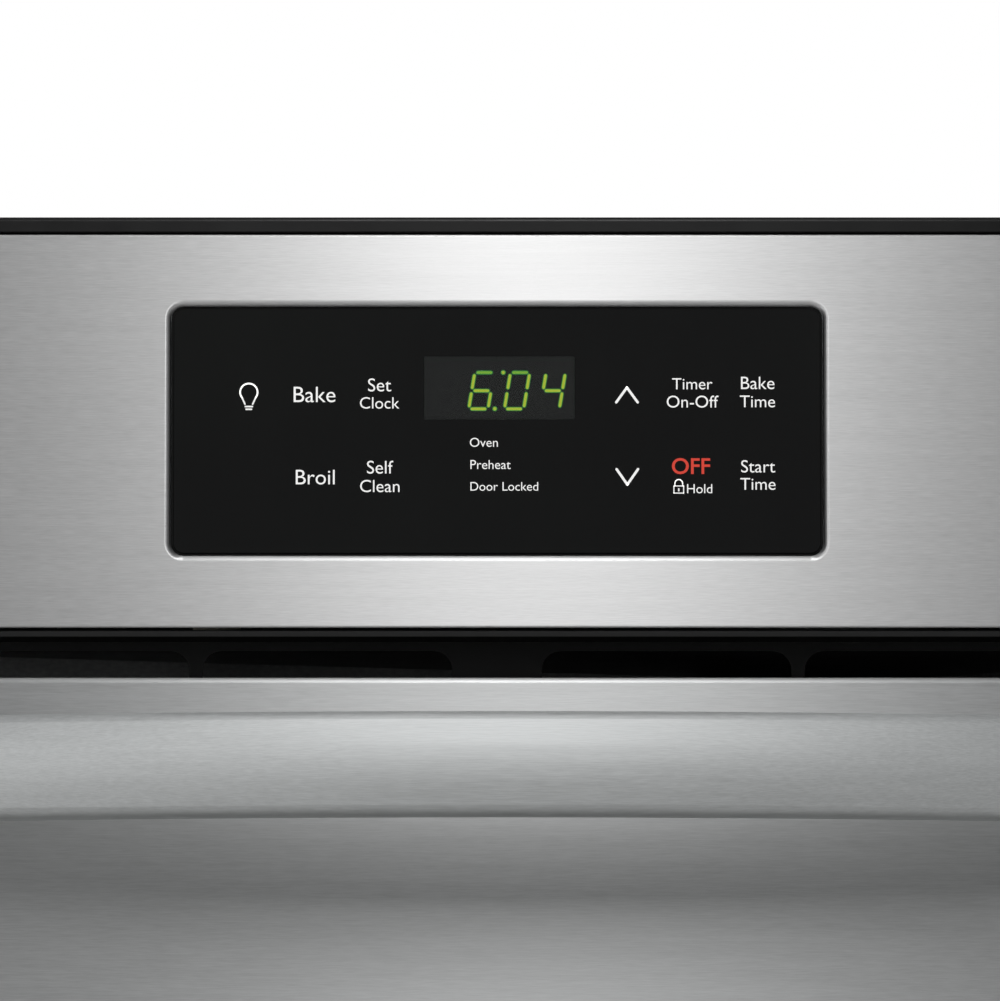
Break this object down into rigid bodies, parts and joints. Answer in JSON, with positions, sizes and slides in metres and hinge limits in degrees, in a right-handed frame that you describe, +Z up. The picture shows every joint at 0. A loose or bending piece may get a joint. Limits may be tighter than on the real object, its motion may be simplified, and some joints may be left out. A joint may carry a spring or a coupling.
{
  "type": "wall oven",
  "caption": "Built-in electric wall oven: bowed bar handle, drop-down glazed door, touch-glass control fascia, enamelled cavity with sliding racks.",
  "frame": {"origin": "middle of the width on the underside of the base pan, at the plane where the front flange seats on the cabinet", "axes": "+X to the viewer's right when facing the door, -Y out of the front towards the viewer, +Z up"},
  "size_m": [0.758, 0.7125, 0.7376],
  "materials": {
    "brushed_stainless": "fine horizontal brush lines, satin",
    "galvanised_steel": "spangled zinc sheet, dull",
    "black_enamel": "satin black paint",
    "cavity_enamel": "speckled dark porcelain enamel",
    "liner_enamel": "speckled dark porcelain enamel",
    "front_enamel": "gloss dark enamel",
    "zinc_steel": "bright zinc plate",
    "spring_steel": "oiled spring wire",
    "chrome_wire": "polished wire",
    "heater_sheath": "oxidised alloy sheath",
    "probe_steel": "bright tube, heat tinted",
    "touch_glass_black": "back-printed black glass",
    "smoked_acrylic": "smoked clear plastic",
    "door_glass_dark": "tinted tempered glass",
    "clear_glass": "clear heat-resisting glass",
    "glass_fibre": "unfaced glass fibre blanket",
    "braided_fibre": "braided glass fibre over wire",
    "black_plastic": "moulded thermoplastic",
    "circuit_board": "lacquered epoxy board",
    "ceramic": "unglazed steatite",
    "aluminised_steel": "dull aluminised sheet",
    "screw_steel": "plated screws"
  },
  "bodies": {
    "chassis": {"base_pan": "galvanised_steel", "side_panel_left": "galvanised_steel", "side_panel_right": "galvanised_steel", "back_panel": "galvanised_steel", "top_panel": "galvanised_steel", "front_frame": "front_enamel", "vent_grille": "black_enamel", "cavity_liner": "cavity_enamel", "insulation_blanket": "glass_fibre", "bake_element": "heater_sheath", "broil_element": "heater_sheath", "temperature_probe": "probe_steel", "lamp_socket": "ceramic", "lamp_bulb": "clear_glass", "lamp_lens": "clear_glass", "door_gasket": "braided_fibre", "hinge_receiver_left": "zinc_steel", "hinge_receiver_right": "zinc_steel", "hinge_arm_left": "zinc_steel", "hinge_arm_right": "zinc_steel", "latch_bracket": "zinc_steel", "latch_motor": "black_plastic", "fan_housing": "aluminised_steel", "fan_motor": "zinc_steel", "air_duct": "aluminised_steel", "control_fascia": "brushed_stainless", "touch_glass": "touch_glass_black", "display_lens": "smoked_acrylic", "display_module": "black_plastic", "control_board": "circuit_board", "control_housing": "galvanised_steel", "top_trim": "black_enamel", "bottom_trim": "black_enamel", "oven_vent_tube": "aluminised_steel", "door_switch": "black_plastic", "conduit_bushing": "zinc_steel", "chassis_screws": "screw_steel", "thermal_cutout": "ceramic"},
    "rack_lower": {"rack_lower": "chrome_wire"},
    "rack_upper": {"rack_upper": "chrome_wire"},
    "latch_cam": {"latch_cam": "black_plastic"},
    "latch_hook": {"latch_hook": "zinc_steel"},
    "fan_impeller": {"fan_impeller": "aluminised_steel"},
    "switch_plunger": {"switch_plunger": "black_plastic"},
    "hinge_rod_left": {"hinge_rod_left": "zinc_steel"},
    "hinge_rod_right": {"hinge_rod_right": "zinc_steel"},
    "door": {"door_skin": "brushed_stainless", "door_glass": "door_glass_dark", "window_frame": "aluminised_steel", "window_panes": "clear_glass", "door_liner": "liner_enamel", "door_insulation": "glass_fibre", "door_handle": "brushed_stainless", "handle_post_left": "brushed_stainless", "handle_post_right": "brushed_stainless", "hinge_channel_left": "zinc_steel", "hinge_channel_right": "zinc_steel", "hinge_spring_left": "spring_steel", "hinge_spring_right": "spring_steel", "door_screws": "screw_steel"}
  },
  "joints": [
    {"name": "door_hinge", "type": "hinge", "parent": "chassis", "child": "door", "pos_m": [0, -0.033, 0.062], "axis": [1, 0, 0], "range_deg": [0, 90], "stiffness_Nm_per_rad": 15, "springref_deg": -11.46},
    {"name": "hinge_rod_slide_left", "type": "slide", "parent": "door", "child": "hinge_rod_left", "axis": [0, 0, -1], "range_m": [0, 0.0198], "deforming": ["hinge_spring_left"]},
    {"name": "hinge_rod_slide_right", "type": "slide", "parent": "door", "child": "hinge_rod_right", "axis": [0, 0, -1], "range_m": [0, 0.0198], "deforming": ["hinge_spring_right"]},
    {"name": "rack_lower_slide", "type": "slide", "parent": "chassis", "child": "rack_lower", "axis": [0, -1, 0], "range_m": [0, 0.25]},
    {"name": "rack_upper_slide", "type": "slide", "parent": "chassis", "child": "rack_upper", "axis": [0, -1, 0], "range_m": [0, 0.18]},
    {"name": "latch_cam_turn", "type": "hinge", "parent": "chassis", "child": "latch_cam", "pos_m": [-0.0134, 0.25, 0.5625], "axis": [0, 0, -1], "range_deg": [0, 120]},
    {"name": "latch_hook_pivot", "type": "hinge", "parent": "chassis", "child": "latch_hook", "pos_m": [-0.008, 0.15, 0.5575], "axis": [0, 0, 1], "range_deg": [0, 6.2]},
    {"name": "fan_spin", "type": "hinge", "parent": "chassis", "child": "fan_impeller", "pos_m": [0.12, 0.28, 0.6], "axis": [0, 0, 1], "continuous": true},
    {"name": "switch_plunger_slide", "type": "slide", "parent": "chassis", "child": "switch_plunger", "axis": [0, -1, 0], "range_m": [0, 0.006]}
  ],
  "couplings": [
    {"joint": "hinge_rod_slide_left", "follows": "door_hinge", "m_per_rad": 0.012541},
    {"joint": "hinge_rod_slide_right", "follows": "door_hinge", "m_per_rad": 0.012541},
    {"joint": "rack_lower_slide", "follows": "door_hinge", "m_per_rad": 0.15909},
    {"joint": "rack_upper_slide", "follows": "door_hinge", "m_per_rad": 0.11453},
    {"joint": "switch_plunger_slide", "follows": "door_hinge", "m_per_rad": 0.003813},
    {"joint": "latch_hook_pivot", "follows": "latch_cam_turn", "ratio": 0.051666}
  ]
}
